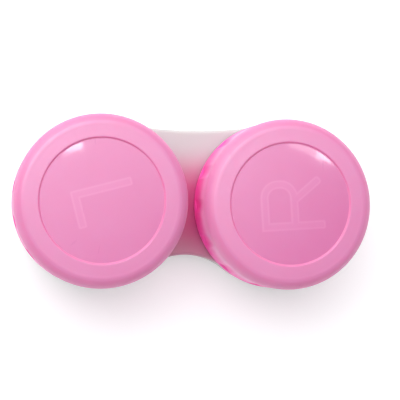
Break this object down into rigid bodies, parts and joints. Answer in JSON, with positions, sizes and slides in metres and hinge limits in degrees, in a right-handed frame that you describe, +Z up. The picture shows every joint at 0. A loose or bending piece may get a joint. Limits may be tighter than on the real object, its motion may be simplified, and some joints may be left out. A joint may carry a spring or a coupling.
{
  "type": "contact lens case",
  "caption": "Flat case for contact lenses: round wells side by side on a bridge, each closed by a fluted screw cap with a recessed lettered top.",
  "frame": {"origin": "centre of the footprint, on the table the case rests on", "axes": "+X from the left well to the right well, +Y towards the bridge's nearly straight side, +Z up along the caps' axes"},
  "size_m": [0.0617, 0.0296, 0.0161],
  "materials": {
    "body_plastic": "milky translucent polypropylene, smooth",
    "cap_plastic": "translucent pink polypropylene, satin ring and glossy disc",
    "seal": "soft translucent elastomer, matte"
  },
  "bodies": {
    "case": {"case_body": "body_plastic"},
    "left_disc": {"left_seal": "seal"},
    "left_lid": {"left_cap": "cap_plastic"},
    "right_disc": {"right_seal": "seal"},
    "right_lid": {"right_cap": "cap_plastic"}
  },
  "joints": [
    {"name": "left_lift", "type": "slide", "parent": "case", "child": "left_disc", "axis": [0, 0, 1], "range_m": [0, 0.01201]},
    {"name": "left_turn", "type": "hinge", "parent": "left_disc", "child": "left_lid", "pos_m": [-0.01605, 0, 0.0051], "axis": [0, 0, 1], "range_deg": [0, 1440]},
    {"name": "right_lift", "type": "slide", "parent": "case", "child": "right_disc", "axis": [0, 0, 1], "range_m": [0, 0.01201]},
    {"name": "right_turn", "type": "hinge", "parent": "right_disc", "child": "right_lid", "pos_m": [0.01605, 0, 0.0051], "axis": [0, 0, 1], "range_deg": [0, 1440]}
  ],
  "couplings": [
    {"joint": "left_lift", "follows": "left_turn", "m_per_rad": 0.00047746},
    {"joint": "right_lift", "follows": "right_turn", "m_per_rad": 0.00047746}
  ]
}
